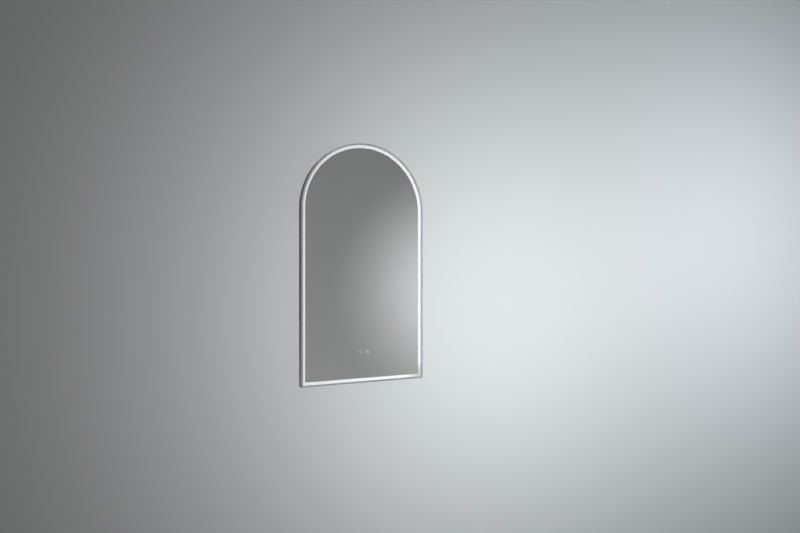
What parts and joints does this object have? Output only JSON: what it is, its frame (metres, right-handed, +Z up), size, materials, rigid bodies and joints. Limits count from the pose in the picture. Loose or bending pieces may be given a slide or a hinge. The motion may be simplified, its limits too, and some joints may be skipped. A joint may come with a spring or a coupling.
{
  "type": "lighted bathroom mirror",
  "caption": "Arch-topped wall mirror in a satin metal frame, with an opal light strip round the glass and touch switches, hung on a hooked wall rail.",
  "frame": {"origin": "on the wall plane, in the middle of the row of screw holes of the wall rail, 560 mm above the mirror's bottom edge", "axes": "+Z up, +X to the right as someone looks into the mirror, +Y into the wall, so the mirror faces -Y"},
  "size_m": [0.5, 0.032, 0.8999],
  "materials": {
    "frame_satin": "satin anodised",
    "diffuser_opal": "opal, satin face",
    "mirror_silver": "silvered, polished",
    "channel_aluminium": "mill finish",
    "lamp_tape_white": "white solder mask",
    "lamp_lens": "yellow phosphor lens",
    "white_plastic": "moulded, fine texture",
    "tape_foam": "closed-cell foam",
    "heater_foil": "amber film",
    "black_plastic": "moulded",
    "circuit_board": "green solder mask",
    "touch_foil": "copper foil on foam",
    "panel_zinc": "galvanised",
    "wiring_grey": "galvanised",
    "terminal_green": "moulded",
    "fastener_zinc": "zinc plated",
    "rivet_aluminium": "plain",
    "brass_screw": "plain",
    "soft_rubber": "matt",
    "lead_white": "sleeved",
    "lead_green": "sleeved"
  },
  "bodies": {
    "wall": {"wall_rail": "panel_zinc"},
    "mirror": {"back_panel": "panel_zinc", "bonding_tape": "tape_foam", "cable_grommet": "soft_rubber", "carrier_arch": "channel_aluminium", "carrier_bottom": "channel_aluminium", "carrier_rivets": "rivet_aluminium", "cord_clamp": "white_plastic", "cord_clamp_screws": "fastener_zinc", "corner_key_left": "channel_aluminium", "corner_key_right": "channel_aluminium", "diffuser_arch": "diffuser_opal", "diffuser_bottom": "diffuser_opal", "driver_base": "white_plastic", "driver_board": "circuit_board", "driver_capacitors": "black_plastic", "driver_cover": "white_plastic", "driver_screws": "fastener_zinc", "driver_terminals": "terminal_green", "driver_transformer": "black_plastic", "earth_bolt": "fastener_zinc", "earth_lead": "lead_green", "earth_nut": "fastener_zinc", "earth_ring": "brass_screw", "frame_arch": "frame_satin", "frame_bottom_rail": "frame_satin", "hanger_pocket": "panel_zinc", "heater_feed_lead": "lead_white", "heater_film": "heater_foil", "heater_lead": "lead_white", "heater_tab": "black_plastic", "hook_rail": "panel_zinc", "hook_rivets": "rivet_aluminium", "lamp_lead": "lead_white", "lamp_plug": "white_plastic", "lamp_strip": "lamp_tape_white", "lamps": "lamp_lens", "lead_clips": "white_plastic", "light_feed_lead": "lead_white", "mains_lead": "lead_white", "mirror_glass": "mirror_silver", "panel_screws": "fastener_zinc", "pocket_rivets": "rivet_aluminium", "terminal_block": "white_plastic", "terminal_screws": "brass_screw", "touch_boards": "circuit_board", "touch_chips": "black_plastic", "touch_pads": "touch_foil", "touch_plugs": "white_plastic", "wall_bumpers": "soft_rubber", "wiring_box": "wiring_grey", "wiring_box_rivets": "rivet_aluminium", "wiring_cover": "wiring_grey", "wiring_cover_screws": "fastener_zinc"}
  },
  "joints": [
    {"name": "lift_off", "type": "slide", "parent": "wall", "child": "mirror", "axis": [0, 0, 1], "range_m": [0, 0.014]}
  ]
}
